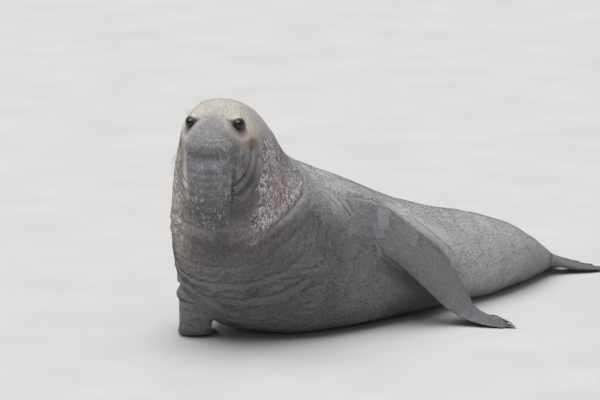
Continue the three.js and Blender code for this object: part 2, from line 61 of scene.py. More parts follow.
# The spine's turn to the left, as the solids have it: distances behind the eyes, in metres.
NECK_TURN = math.radians(34)
TURN_START = 1.05
TURN_END = 0.15
SPINE_STEP = 0.01
EYE_PLACE = (0.138, 0.012, 1.384)
EYE_GAZE = (0.46, -0.88, 0.08)


def ramp(value, low, high):
    """0 at low and 1 at high, with a soft start and end."""
    part = np.clip((value - low) / (high - low), 0, 1)
    return part * part * (3 - 2 * part)


def heading(behind):
    return NECK_TURN * ramp(TURN_START - behind, 0, TURN_START - TURN_END)


steps = np.arange(0, 1.7, SPINE_STEP)
step_heading = heading(TURN_START - steps[:-1] - SPINE_STEP / 2)
spine_x = np.concatenate([[0], np.cumsum(np.sin(step_heading) * SPINE_STEP)])
spine_y = TURN_START - np.concatenate([[0], np.cumsum(np.cos(step_heading) * SPINE_STEP)])


def spine_at(behind):
    ahead = np.clip(TURN_START - behind, 0, steps[-1])
    return np.interp(ahead, steps, spine_x), np.interp(ahead, steps, spine_y)


def middle_of(node):
    low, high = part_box(node)
    return np.array((low + high) / 2)


eye_middle = (middle_of("eye_left") + middle_of("eye_right")) / 2
OFFSET = eye_middle[:2] - np.array(spine_at(EYE_PLACE[1])).ravel()


def straightened(points):
    """Points of the turned body as (to its left, behind the eyes, height) on a straight one."""
    flat = points[:, :2] - OFFSET
    behind = flat[:, 1].copy()
    for _ in range(16):
        held = np.clip(behind, -0.5, TURN_START)
        x, y = spine_at(held)
        turn = heading(held)
        along = (flat[:, 0] - x) * np.sin(turn) - (flat[:, 1] - y) * np.cos(turn)
        behind = held - along
    aside = (flat[:, 0] - x) * np.cos(turn) + (flat[:, 1] - y) * np.sin(turn)
    return np.column_stack([aside, behind, points[:, 2]])


def turned_way(way, behind):
    """A direction on the straight body, as it points on the turned one."""
    turn = heading(np.asarray(behind, float))
    x = way[..., 0] * np.cos(turn) - way[..., 1] * np.sin(turn)
    y = way[..., 0] * np.sin(turn) + way[..., 1] * np.cos(turn)
    return np.stack([x, y, way[..., 2]], axis=-1)


def to_line(points, line, reach=9.0):
    """The distance of each point from a line through the given places, and how far along.

    A point further than the reach from the line's box is only said to be far away.
    """
    line = np.array(line, float)
    lengths = np.linalg.norm(np.diff(line, axis=0), axis=1)
    starts = np.concatenate([[0], np.cumsum(lengths)[:-1]])
    best = np.full(len(points), 9.0)
    along = np.zeros(len(points))
    in_reach = (points > line.min(axis=0) - reach) & (points < line.max(axis=0) + reach)
    close = np.nonzero(in_reach.all(axis=1))[0]
    spots, best_here, along_here = points[close], best[close], along[close]
    for a, b, length, start in zip(line[:-1], line[1:], lengths, starts):
        share = np.clip((spots - a) @ (b - a) / length**2, 0, 1)
        away = np.linalg.norm(spots - (a + share[:, None] * (b - a)), axis=1)
        nearer = away < best_here
        best_here = np.where(nearer, away, best_here)
        along_here = np.where(nearer, (start + share * length) / lengths.sum(), along_here)
    best[close], along[close] = best_here, along_here
    return best, along


def snapped(line, points, step=0.025):
    """A line with more places on it, each moved to the nearest of the points."""
    line = np.array(line, float)
    lengths = np.concatenate([[0], np.cumsum(np.linalg.norm(np.diff(line, axis=0), axis=1))])
    stops = np.linspace(0, lengths[-1], max(3, int(lengths[-1] / step) + 1))
    dense = np.column_stack([np.interp(stops, lengths, line[:, k]) for k in range(3)])
    return np.array([points[np.argmin(((points - place) ** 2).sum(1))] for place in dense])


def hill(points, centre, reach):
    """A round hill of height 1 at the centre, that fades with the given reach each way."""
    return np.exp(-(((points - np.array(centre)) / np.array(reach)) ** 2).sum(1))


def lumps(points, size, seed):
    """Soft random lumps of about the given size, from -1 to 1."""
    table = np.random.default_rng(seed).uniform(-1, 1, 4096)
    place = points / size
    cell = np.floor(place).astype(np.int64)
    part = place - cell
    part = part * part * (3 - 2 * part)
    total = np.zeros(len(points))
    for corner in np.ndindex(2, 2, 2):
        key = (cell + corner) @ np.array([73856093, 19349663, 83492791])
        share = np.prod(np.where(np.array(corner) == 1, part, 1 - part), axis=1)
        total += table[key % 4096] * share
    return total


def coordinates(mesh, values=None):
    """The places of a mesh's vertices, or sets them."""
    if values is None:
        values = np.zeros(len(mesh.vertices) * 3)
        mesh.vertices.foreach_get("co", values)
        return values.reshape(-1, 3)
    mesh.vertices.foreach_set("co", values.ravel())
    mesh.update()
    return values


def normals(mesh):
    values = np.zeros(len(mesh.vertices) * 3)
    mesh.vertex_normals.foreach_get("vector", values)
    return values.reshape(-1, 3)


def shown(name, mesh):
    piece = bpy.data.objects.new(name, mesh)
    bpy.context.scene.collection.objects.link(piece)
    return piece


def finished(piece):
    """The piece's mesh with its modifiers applied, in a piece of the same name."""
    depsgraph = bpy.context.evaluated_depsgraph_get()
    mesh = bpy.data.meshes.new_from_object(piece.evaluated_get(depsgraph))
    piece.modifiers.clear()
    old, piece.data = piece.data, mesh
    bpy.data.meshes.remove(old)
    return piece


def relaxed(places, edges, weight, rounds):
    """Each vertex moves towards the middle of its neighbours, as far as its weight says."""
    moving = weight > 0.004
    edges = edges[moving[edges].any(axis=1)]
    used, local = np.unique(edges, return_inverse=True)
    one, other = local.reshape(-1, 2).T
    held = places[used]
    share = weight[used][:, None]
    count = len(used)
    degree = np.bincount(one, minlength=count) + np.bincount(other, minlength=count)
    degree = np.maximum(degree, 1)[:, None]
    for _ in range(rounds):
        total = np.empty_like(held)
        for k in range(3):
            total[:, k] = np.bincount(one, held[other, k], count) + np.bincount(other, held[one, k], count)
        held = held + share * (total / degree - held)
    places = places.copy()
    places[used] = held
    return places


# The flippers' middle lines from root to tip, as they stand (millimetres, before the shift).
def as_stands(line):
    places = np.array(line, float) / 1000
    places[:, :2] += OFFSET
    return places


FLIPPER_LINES = {
    "fore_flipper_left": as_stands([(352, 1180, 680), (455, 1360, 590), (548, 1520, 430), (606, 1672, 272),
                                    (650, 1785, 130), (705, 1842, 48), (790, 1893, 20), (925, 1985, 5)]),
    "fore_flipper_right": as_stands([(-104, 340, 312), (-102, 322, 196), (-114, 322, 94), (-148, 350, 38),
                                     (-214, 422, 17), (-366, 572, 5)]),
    "hind_flipper_left": as_stands([(50, 3040, 130), (96, 3280, 72), (118, 3390, 40), (158, 3600, 6)]),
    "hind_flipper_right": as_stands([(-50, 3040, 130), (-96, 3280, 72), (-118, 3390, 40), (-158, 3600, 6)]),
}

flesh = bmesh.new()
for name in FLESH + EYES:
    part = bmesh.new()
    part.from_mesh(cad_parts[name].data)
    bmesh.ops.remove_doubles(part, verts=part.verts, dist=1e-5)
    for vertex in part.verts:
        vertex.co += vertex.normal * OVERLAP
    copy = bpy.data.meshes.new("flesh_copy")
    part.to_mesh(copy)
    part.free()
    flesh.from_mesh(copy)
    bpy.data.meshes.remove(copy)
skin_mesh = bpy.data.meshes.new("skin")
flesh.to_mesh(skin_mesh)
flesh.free()
skin = shown("skin", skin_mesh)
fused = skin.modifiers.new("one_hide", "REMESH")
fused.mode = "VOXEL"
fused.voxel_size = SKIN_CELL
fused.adaptivity = 0
finished(skin)

places = coordinates(skin.data)
edge_ends = np.zeros(len(skin.data.edges) * 2, np.int64)
skin.data.edges.foreach_get("vertices", edge_ends)
edge_ends = edge_ends.reshape(-1, 2)


def folded_straight(points):
    """Places on the straight body, with its right side laid on its left."""
    place = straightened(points)
    place[:, 0] = np.abs(place[:, 0])
    return place


folded = folded_straight(places)
flipper_away = {name: to_line(places, line, 0.25) for name, line in FLIPPER_LINES.items()}
on_flipper = np.max([1 - ramp(away, 0.13, 0.2) for away, _ in flipper_away.values()], axis=0)
far_out = np.max([(1 - ramp(away, 0.15, 0.22)) * ramp(along, 0.35, 0.62)
                  for away, along in flipper_away.values()], axis=0)
on_head = ramp(-folded[:, 1] + 0.55 * folded[:, 2], 0.42, 0.72)
near_eye = hill(folded, EYE_PLACE, (0.07, 0.07, 0.07))

# The solids' flats are worn smooth, least at the eyes, the nose and the digits, and most
# where the nose grows out of the forehead and the arms out of the body.
wear = (0.0055 / SKIN_CELL) ** 2
stiffness = 0.8 * (1 - 0.45 * on_head) * (1 - 0.55 * on_flipper) * (1 - 0.93 * far_out) * (1 - 0.8 * near_eye)
places = relaxed(places, edge_ends, stiffness, int(75 * wear))
NOSE_ROOT = [(0.0, 0.025, 1.450), (0.070, 0.002, 1.432), (0.118, -0.030, 1.385), (0.145, -0.050, 1.320),
             (0.158, -0.062, 1.250), (0.155, -0.075, 1.190)]
seam = np.exp(-((to_line(folded, NOSE_ROOT, 0.2)[0] / 0.050) ** 2)) * (1 - near_eye)
arm_root = hill(places, as_stands([(300, 1120, 700)])[0], (0.16, 0.22, 0.24))
armpit = hill(places, as_stands([(-90, 330, 430)])[0], (0.20, 0.20, 0.16))
nape = hill(folded, (0.120, 0.760, 1.100), (0.200, 0.200, 0.140))
places = relaxed(places, edge_ends, 0.5 * np.clip(seam + arm_root + armpit + nape, 0, 1), int(400 * wear))
places[:, 2] = np.maximum(places[:, 2], LOWEST)
coordinates(skin.data, places)

# Folds on both sides: the furrow's line on the straight body, its width and depth, and how
# high the rolls beside it stand.
MOUTH = [(0.213, 0.038, 1.245), (0.209, 0.030, 1.223), (0.206, 0.015, 1.178), (0.204, 0.000, 1.134),
         (0.193, -0.025, 1.098), (0.167, -0.065, 1.062), (0.135, -0.110, 1.032)]
UNDER_LIP = [(0.246, 0.080, 1.200), (0.235, 0.065, 1.148), (0.224, 0.040, 1.087), (0.202, 0.005, 1.039),
             (0.165, -0.035, 0.993), (0.133, -0.100, 0.976)]
NOSE_SIDE = [(0.163, -0.070, 1.235), (0.150, -0.090, 1.160), (0.144, -0.096, 1.080), (0.136, -0.094, 1.000),
             (0.124, -0.084, 0.900)]
FOLDS = [
    (MOUTH, 0.0100, 0.020, 0.005),
    (UNDER_LIP, 0.015, 0.017, 0.004),
    ([(0.262, 0.130, 1.150), (0.255, 0.095, 1.050), (0.225, 0.045, 0.965), (0.160, -0.010, 0.910),
      (0.090, -0.030, 0.890)], 0.017, 0.009, 0.003),
    (NOSE_SIDE, 0.012, 0.014, 0.003),
    ([(0.0, 0.045, 0.634), (0.154, 0.050, 0.664), (0.258, 0.090, 0.732), (0.329, 0.240, 0.778),
      (0.354, 0.390, 0.816), (0.362, 0.575, 0.866), (0.321, 0.785, 0.923)], 0.016, 0.012, 0.006),
    ([(0.0, -0.010, 0.745), (0.10, 0.000, 0.750), (0.20, 0.045, 0.790), (0.275, 0.120, 0.850)],
     0.017, 0.009, 0.004),
    ([(0.0, 0.075, 0.520), (0.16, 0.095, 0.530), (0.28, 0.190, 0.580), (0.36, 0.340, 0.650),
      (0.395, 0.55, 0.72)], 0.020, 0.007, 0.003),
    ([(0.0, 0.130, 0.410), (0.16, 0.165, 0.415), (0.30, 0.285, 0.455), (0.41, 0.500, 0.550)],
     0.020, 0.006, 0.003),
    ([(0.0, 0.220, 0.300), (0.16, 0.260, 0.300), (0.30, 0.380, 0.340), (0.43, 0.600, 0.440)],
     0.020, 0.006, 0.003),
    ([(0.354, 0.950, 0.868), (0.385, 0.990, 0.820), (0.400, 1.020, 0.760)], 0.010, 0.004, 0.002),
    ([(0.400, 1.035, 0.840), (0.432, 1.060, 0.780), (0.452, 1.090, 0.705)], 0.010, 0.004, 0.002),
]


def pressed(points, line, width, depth, roll):
    """How far the hide is drawn in along a line: a furrow between two soft rolls."""
    away, along = to_line(points, line, 6 * width)
    start = ramp(along, 0, 0.15) if abs(line[0][0]) > 0.05 else 1
    furrow = depth * np.exp(-((away / width) ** 2))
    beside = roll * np.exp(-(((away - 2.6 * width) / (1.5 * width)) ** 2))
    return (furrow - beside) * start * (1 - ramp(along, 0.82, 1))


out = normals(skin.data)
folded = folded_straight(places)
wavy = folded + np.column_stack([lumps(folded, 0.08, seed) for seed in (3, 4, 5)]) * 0.005
fold_lines = [(snapped(line, folded), width, depth, roll) for line, width, depth, roll in FOLDS]
inward = np.zeros(len(places))
for line, width, depth, roll in fold_lines:
    inward += pressed(wavy, line, width, depth, roll)

# Wrinkles across the nose, above and below the one deep crease that the solids have.
WRINKLES = [(1.395, 0.010, 0.0025), (1.366, 0.008, 0.0030), (1.318, 0.008, 0.0025), (1.292, 0.010, 0.0035),
            (1.215, 0.021, 0.0160), (1.180, 0.007, 0.0025), (1.118, 0.010, 0.0050), (1.080, 0.008, 0.0030),
            (1.036, 0.010, 0.0030), (0.985, 0.009, 0.0020), (0.930, 0.010, 0.0025), (0.880, 0.009, 0.0020)]
on_nose = (1 - ramp(folded[:, 1], -0.115, -0.075)) * (1 - ramp(folded[:, 0], 0.14, 0.18))
for height, width, depth in WRINKLES:
    sag = 0.020 * (folded[:, 0] / 0.15) ** 2
    inward += on_nose * depth * np.exp(-(((wavy[:, 2] - height - sag) / width) ** 2))
# Soft rises: the pads of the lip, the brows, the cheeks, the nose's two lobes and the nape.
RISES = [
    ((0.172, -0.032, 1.190), (0.030, 0.040, 0.062), 0.008),
    ((0.165, -0.020, 1.290), (0.040, 0.050, 0.050), 0.006),
    ((0.130, 0.000, 1.436), (0.060, 0.050, 0.026), 0.005),
    ((0.205, 0.085, 1.330), (0.050, 0.070, 0.045), 0.004),
    ((0.000, -0.190, 1.158), (0.130, 0.070, 0.030), 0.009),
    ((0.000, -0.170, 1.290), (0.170, 0.080, 0.045), 0.012),
    ((0.170, 0.600, 1.160), (0.150, 0.260, 0.160), 0.034),
]
for centre, reach, rise in RISES:
    inward -= rise * hill(folded, centre, reach)

# The shield of the neck is cobbled with old bites, and the flanks are faintly furrowed.
shield = ramp(folded[:, 1] * 0.45 + folded[:, 2], 1.40, 1.22) * ramp(folded[:, 2], 0.40, 0.62)
shield *= (1 - ramp(folded[:, 1], 0.72, 0.95)) * (1 - on_nose)
shield *= ramp(folded[:, 1] + 0.35 * (1.20 - folded[:, 2]), 0.06, 0.14)
upright = np.column_stack([places[:, 0], places[:, 1], places[:, 2] * 0.5])
inward -= shield * (0.0032 * lumps(upright, 0.026, 7) + 0.0026 * lumps(upright, 0.015, 8))
body = ramp(folded[:, 1], 0.7, 1.2) * (1 - on_flipper)
furrows = np.column_stack([places[:, 0], places[:, 1] * 0.25, places[:, 2]])
inward -= body * (0.0028 * lumps(furrows, 0.05, 9) + 0.006 * lumps(places, 0.24, 10))
inward -= (1 - body) * (1 - far_out) * (0.0012 * lumps(places, 0.03, 11) + 0.003 * lumps(places, 0.11, 12))
chest_lines = np.column_stack([places[:, 0] * 0.35, places[:, 1] * 0.35, places[:, 2]])
on_chest = ramp(0.72 - folded[:, 2], 0, 0.12) * (1 - ramp(folded[:, 1], 0.6, 1.0)) * (1 - far_out)
inward -= on_chest * 0.0035 * lumps(chest_lines, 0.022, 13)

# The arms: a roll of hide along the upper edge of the left one, and a fold over the right one.
ARM_ROLL = as_stands([
    (325, 1110, 862), (333, 1200, 838), (342, 1300, 800), (335, 1450, 755), (345, 1560, 700),
    (380, 1640, 630), (410, 1710, 565), (440, 1800, 487), (452, 1890, 413), (456, 1960, 320),
])
arm_roll = snapped(ARM_ROLL, places)
inward -= pressed(places, arm_roll, 0.018, 0.012, 0.0)
inward += pressed(places, arm_roll + np.array([0.012, -0.036, -0.016]), 0.022, 0.010, 0.0)
arm_fold = snapped([(-0.450, -1.470, 0.350), (-0.429, -1.504, 0.334), (-0.342, -1.509, 0.312),
                    (-0.240, -1.500, 0.290), (-0.154, -1.446, 0.213), (-0.130, -1.380, 0.150)], places)
inward += pressed(places, arm_fold, 0.017, 0.028, 0.016)

coat_depth = 0.0035 * (1 - 0.45 * on_head) * (1 - 0.75 * far_out) * ramp(places[:, 2], 0.0, 0.04)
places = places - out * (inward + coat_depth)[:, None]

# The lids stand round the eyeball: inside their rim the hide passes behind it.
EYE_RADIUS = 0.036
LID_HALF = (0.90, 0.80)  # half width and height of the opening, on a ball of radius 1
eyes = {}


def openness(points, centre, gaze, level, upright):
    """How far out of the middle of the lids' opening each point lies: 1 is the rim."""
    ray = points - centre
    far = np.linalg.norm(ray, axis=1)
    ray = ray / np.maximum(far, 1e-6)[:, None]
    aside, up, forward = ray @ level, ray @ upright, ray @ gaze
    opening = np.hypot(aside / LID_HALF[0], (up + 0.03) / LID_HALF[1])
    return np.where(forward > 0, opening, 9), far, ray, aside, up


for name, side in (("eye_left", 1), ("eye_right", -1)):
    centre = middle_of(name)
    gaze = turned_way(np.array([side * EYE_GAZE[0], EYE_GAZE[1], EYE_GAZE[2]]), EYE_PLACE[1])
    gaze /= np.linalg.norm(gaze)
    level = np.cross([0, 0, 1], gaze)
    level /= np.linalg.norm(level)
    eyes[name] = (centre, gaze, level, np.cross(gaze, level), side)
    opening, far, ray, _, up = openness(places, *eyes[name][:4])
    near = (far < 0.09) & (opening < 3)
    lid = 0.0410 + 0.0040 * ramp(opening, 1.05, 1.6)
    lid -= 0.0035 * np.exp(-(((opening - 1.45) / 0.10) ** 2)) * ramp(up, -0.2, 0.3)
    lid -= 0.0025 * np.exp(-(((opening - 1.55) / 0.12) ** 2)) * ramp(-up, 0.0, 0.4)
    lid = np.where(opening < 1.03, 0.030 + 0.011 * ramp(opening, 0.93, 1.03), lid)
    hold = (1 - ramp(opening, 1.35, 2.1)) * near
    places = places + ray * ((lid - far) * hold)[:, None]
places[:, 2] = np.maximum(places[:, 2], LOWEST)
coordinates(skin.data, places)

fine = skin.vertex_groups.new(name="kept_fine")
importance = np.clip(on_head * 0.6 + near_eye + 0.35 * far_out + 0.25 * shield, 0, 1)
for grade in range(1, 11):
    chosen = np.nonzero(np.round(importance * 10) == grade)[0]
    fine.add(chosen.tolist(), grade / 10, "REPLACE")
thinned = skin.modifiers.new("thinned", "DECIMATE")
thinned.ratio = min(1.0, SKIN_TRIANGLES / (2 * len(skin.data.polygons)))
thinned.vertex_group = "kept_fine"
thinned.invert_vertex_group = True
thinned.vertex_group_factor = 2.0
finished(skin)
skin.vertex_groups.clear()
cleaned = bmesh.new()
cleaned.from_mesh(skin.data)
bmesh.ops.triangulate(cleaned, faces=cleaned.faces)
cleaned.to_mesh(skin.data)
cleaned.free()
skin.data.shade_smooth()

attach(skin, "root")
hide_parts(*FLESH)

# ---------------------------------------------------------------------------------------------
# Markings: the same hide from head to tail, tan on the crown, slate on the nose, scarred on
# the neck, pale on the back and flanks, and darker on the chest, the lower sides and the arms,
# partly the hide's own tone and partly painted shade where light from above falls less. Skin
# and coat both read them from two attributes on their vertices.
# ---------------------------------------------------------------------------------------------
# Where markings end: the nose's half width and the arm's roll by height, and the pale back's
# and the shield's lower edges by how far behind the eyes.
NOSE_HALF = ((0.75, 1.10, 1.20, 1.27, 1.33, 1.37, 1.40, 1.46),
             (0.15, 0.15, 0.17, 0.18, 0.155, 0.125, 0.110, 0.090))
ROLL_LINE = ((0.285, 0.487, 0.564, 0.632, 0.711, 0.805, 0.859, 0.95),
             (1.90, 1.76, 1.61, 1.54, 1.46, 1.25, 1.10, 1.00))
BACK_LINE = ((0.30, 0.60, 0.85, 1.10, 1.30, 1.60), (1.36, 1.12, 0.99, 0.90, 0.82, 0.70))
SHIELD_EDGE = ((0.05, 0.24, 0.58, 0.80), (0.66, 0.76, 0.84, 0.92))
mouth_line, lip_line = fold_lines[0][0], fold_lines[1][0]


def markings(points):
    """Zones (pale, slate, darker hide and painted shade, limb) and marks (scarred, raw, rust, wetness and
    painted fold shade), each from 0 to 1.
    """
    place = straightened(points)
    aside = place[:, 0].copy()
    place[:, 0] = np.abs(aside)
    x, y, z = place.T
    rough = lumps(points, 0.10, 21) * 0.5 + lumps(points, 0.045, 22) * 0.5
    soft = 0.03 + 0.04 * ramp(z, 1.28, 1.42)
    nose = 1 - ramp((x + 0.02 * rough - np.interp(z, *NOSE_HALF)) / soft, -1, 1)
    in_front = 1 - ramp(y + 0.02 * rough - np.interp(z, (1.0, 1.3), (-0.05, 0.04)), -0.04, 0.05)
    nose *= in_front * (1 - ramp(z + 0.02 * rough, 1.39, 1.475))
    pad = hill(place, (0.175, -0.040, 1.190), (0.055, 0.07, 0.12))
    eye = hill(place, EYE_PLACE, (0.072, 0.075, 0.066))
    crown = ramp(z + 0.05 * rough, 1.22, 1.44) * (1 - ramp(y + 0.06 * rough, 0.30, 0.85))
    cheek = hill(place, (0.208, 0.075, 1.325), (0.060, 0.085, 0.055))
    edge = hill(place, (0.27, 0.08, 0.95), (0.10, 0.14, 0.42)) * (aside < 0)
    strip = hill(place, (0.150, -0.075, 1.060), (0.024, 0.060, 0.170)) * (aside < 0)
    pale = 0.68 * crown * (1 - 0.85 * nose) + 0.9 * eye + cheek * (1 - nose) + 0.65 * edge + 0.9 * strip
    slate = np.maximum(nose, 0.9 * pad) * (1 - 0.9 * eye) * (1 - 0.9 * strip)
    past_roll = y + 0.1 * rough * (aside < 0) - np.interp(z, *ROLL_LINE)
    ahead_of_roll = 1 - ramp(past_roll / np.where(aside < 0, 5, 1), -0.01, 0.05)
    # Painted shade: the sides below the pale back and ahead of the arm's roll are darkened, more so lower
    # down, where light from above falls less.
    below_back = 1 - ramp(z + 0.03 * rough - np.interp(y, *BACK_LINE), -0.09, 0.03)
    side = ahead_of_roll * below_back * ramp(y + 0.06 * rough, 0.10, 0.45)
    side *= 0.35 + 0.65 * ramp(0.92 - z, 0.0, 0.32)
    # Painted shade on the undersides: below the shield's edge, under the lip's roll, on the throat under the
    # nose's tip, and under the belly.
    under_shield = np.interp(y, *SHIELD_EDGE) + 0.10 * (1 - ramp(y, 0.1, 0.4)) - z
    low = ramp(under_shield + 0.06 * rough, -0.03, 0.11) * (1 - ramp(y + 0.12 * rough, 0.25, 1.15))
    muzzle = hill(place, (0.20, 0.00, 1.04), (0.10, 0.12, 0.20))
    throat = hill(place, (0.0, 0.02, 0.84), (0.28, 0.16, 0.14))
    belly = ramp(0.22 - z, 0, 0.2) * ramp(y, 0.8, 1.3) * 0.55
    neck = ramp(y * 0.45 + z, 1.50, 1.28) * (1 - ramp(y + 0.1 * rough, 0.76, 1.00)) * (1 - nose)
    neck *= ramp(z + 0.08 * rough - np.interp(y, *SHIELD_EDGE), -0.06, 0.10)
    neck *= 0.35 * ramp(y, 0.04, 0.10) + 0.65 * ramp(y + 0.35 * (1.20 - z) + 0.03 * rough, 0.07, 0.18)
    neck *= 1 - 0.6 * hill(place, (0.0, 0.02, 0.76), (0.22, 0.13, 0.13))
    neck = np.maximum(neck, 0.95 * edge * ramp(1.25 - z, 0, 0.2))
    # The darker zone: partly the hide's own darker tone, partly the painted shade above.
    dark_and_shade = 0.80 * side + 0.97 * low + muzzle + 0.75 * throat + belly + 0.25 * ramp(y, 2.45, 2.95)
    # Painted shade: the nose darkens towards its lower end, where light from above falls less.
    dark_and_shade = dark_and_shade * (1 - 0.6 * neck) + 0.9 * nose * ramp(1.15 - z, 0.0, 0.30)
    dark_and_shade += 0.32 * hill(place, (0.27, 0.14, 1.10), (0.09, 0.09, 0.16))
    dark_and_shade += 0.50 * hill(place, (0.24, 0.08, 0.86), (0.13, 0.12, 0.15))
    # Painted highlight: the darker and limb zones are lifted along the arm's roll, where its ridge catches
    # the light.
    lit = 1 - 0.75 * np.exp(-((to_line(points, arm_roll, 0.12)[0] / 0.040) ** 2))
    raw = 0.9 * hill(place, (0.20, 0.055, 0.715), (0.11, 0.06, 0.045))
    raw += 0.9 * hill(place, (0.30, 0.22, 0.94), (0.09, 0.16, 0.14))
    raw += 0.5 * hill(place, (0.32, 0.36, 1.05), (0.1, 0.14, 0.1))
    raw *= np.where(aside > 0, 1, 0.5)
    rust = 1.4 * hill(place, (0.212, 0.045, 1.265), (0.050, 0.052, 0.038)) * ramp(rough, -1.0, 0.0)
    # Wetness, near black: along the mouth's and the lower lip's folds, partly wet skin and partly painted
    # shade in the folds; round the eyes, wet rims and inner corners.
    wet_and_fold_shade = np.zeros(len(points))
    for line, share in ((mouth_line, 0.95), (lip_line, 0.6)):
        wet_and_fold_shade = np.maximum(wet_and_fold_shade, share * (1 - ramp(to_line(place, line, 0.05)[0], 0.003, 0.015)))
    for centre, gaze, level, upright, turn in eyes.values():
        opening, far, _, across, up = openness(points, centre, gaze, level, upright)
        corner = 0.6 * hill(np.column_stack([across * -turn, up, 0 * up]), (0.95, -0.10, 0), (0.13, 0.11, 1))
        rim = np.maximum(1 - ramp(opening, 1.14, 1.28), corner * (opening > 1)) * (far < 0.075)
        wet_and_fold_shade = np.maximum(wet_and_fold_shade, rim)
        pale = pale + 1.6 * np.exp(-(((opening - 1.62) / 0.36) ** 2)) * (far < 0.09)
    limb = np.zeros(len(points))
    for name, line in FLIPPER_LINES.items():
        away, along = to_line(points, line, 0.25)
        if name.startswith("hind"):
            whole = ramp(along, 0.0, 0.3)
        else:
            whole = np.maximum(ahead_of_roll, ramp(along, 0.5, 0.65))
        limb = np.maximum(limb, (1 - ramp(away, 0.12, 0.20)) * whole)
    zones = np.column_stack([pale, slate, dark_and_shade * lit, limb * lit])
    return np.clip(zones, 0, 1), np.clip(np.column_stack([neck, raw, rust, wet_and_fold_shade]), 0, 1)


def paint(mesh, zones, marks):
    """Stores the markings on a mesh's vertices."""
    for name, values in (("hide_zones", zones), ("hide_marks", marks)):
        layer = mesh.attributes.new(name, "FLOAT_COLOR", "POINT")
        layer.data.foreach_set("color", values.astype(np.float32).ravel())


skin_places = coordinates(skin.data)
skin_places[:, 2] = np.maximum(skin_places[:, 2], LOWEST)
coordinates(skin.data, skin_places)
skin_zones, skin_marks = markings(skin_places)
paint(skin.data, skin_zones, skin_marks)


def tint(red, green, blue):
    """A colour given as the eye reads it, 0 to 255, for a shader."""
    shares = [value / 255 for value in (red, green, blue)]
    return (*[s / 12.92 if s < 0.04045 else ((s + 0.055) / 1.055) ** 2.4 for s in shares], 1)


def added(tree, kind, inputs=(), **settings):
    """A shader node with its settings, and its sockets set or linked."""
    node = tree.nodes.new("ShaderNode" + kind)
    for name, value in settings.items():
        setattr(node, name, value)
    for name, value in dict(inputs).items():
        if isinstance(value, bpy.types.NodeSocket):
            tree.links.new(value, node.inputs[name])
        else:
            node.inputs[name].default_value = value
    return node


def blended(tree, share, one, other):
    """Two colours mixed by a share."""
    node = added(tree, "Mix", data_type="RGBA")
    for index, value in ((0, share), (6, one), (7, other)):
        if isinstance(value, bpy.types.NodeSocket):
            tree.links.new(value, node.inputs[index])
        else:
            node.inputs[index].default_value = value
    return node.outputs[2]


def spread(tree, value, low, high, first=0.0, last=1.0):
    """A value carried from one range to another, held at the ends."""
    ends = {"From Min": low, "From Max": high, "To Min": first, "To Max": last}
    return added(tree, "MapRange", {"Value": value, **ends}).outputs[0]


def product(tree, *factors):
    """The product of sockets and numbers, a socket first."""
    total = factors[0]
    for factor in factors[1:]:
        total = added(tree, "Math", {0: total, 1: factor}, operation="MULTIPLY").outputs[0]
    return total


def sum_of(tree, start, *terms):
    """A number plus a sum of socket times number."""
    total = start
    for socket, factor in terms:
        total = added(tree, "Math", {0: socket, 1: factor, 2: total}, operation="MULTIPLY_ADD").outputs[0]
    return total


def grain(tree, where, stretch, scale, detail=4.0, roughness=0.55):
    """Noise over the object's own coordinates, drawn out by the stretch."""
    laid = added(tree, "Mapping", {"Vector": where, "Scale": stretch})
    return added(tree, "TexNoise", {"Vector": laid.outputs[0], "Scale": scale, "Detail": detail,
                                    "Roughness": roughness}).outputs["Fac"]


def new_material(name):
    material = bpy.data.materials.new(name)
    material.use_nodes = True
    tree = material.node_tree
    tree.nodes.clear()
    surface = added(tree, "BsdfPrincipled")
    added(tree, "OutputMaterial", {"Surface": surface.outputs[0]})
    return material, tree, surface


hide, tree, surface = new_material("hide")
where = added(tree, "TexCoord").outputs["Object"]
zone_source = added(tree, "Attribute", attribute_name="hide_zones")
mark_source = added(tree, "Attribute", attribute_name="hide_marks")
pale, slate, dark_and_shade = added(tree, "SeparateColor", {0: zone_source.outputs["Color"]}).outputs
scarred, raw, rust = added(tree, "SeparateColor", {0: mark_source.outputs["Color"]}).outputs
limb, wet_and_fold_shade = zone_source.outputs["Alpha"], mark_source.outputs["Alpha"]

patches = grain(tree, where, (1, 1, 1), 3.4, 5)
blotches = grain(tree, where, (1, 1, 1), 15, 6)
flecks = grain(tree, where, (1, 1, 1), 120, 3)
fur = grain(tree, where, (1, 0.22, 1), 210, 3)
upright_fur = grain(tree, where, (1, 1, 0.25), 190, 3)
cuts = grain(tree, where, (1, 1, 0.30), 95, 3, 0.6)
streaks = grain(tree, where, (1, 1, 0.12), 80, 2)

colour = blended(tree, spread(tree, patches, 0.35, 0.65), tint(182, 180, 181), tint(202, 200, 200))
colour = blended(tree, spread(tree, blotches, 0.5, 0.72, 0, 0.4), colour, tint(160, 157, 157))
colour = blended(tree, product(tree, scarred, 0.9), colour, tint(150, 143, 141))
# Darker hide on the chest, sides and throat: partly its own tone, partly painted shade.
dark_and_shade_share = product(tree, dark_and_shade, spread(tree, patches, 0.2, 0.6, 0.80, 1.0))
colour = blended(tree, dark_and_shade_share, colour, tint(93, 90, 92))
colour = blended(tree, product(tree, limb, 0.80), colour, tint(118, 116, 121))
slate_share = product(tree, slate, spread(tree, blotches, 0.3, 0.7, 1.0, 0.8))
colour = blended(tree, slate_share, colour, tint(96, 94, 100))
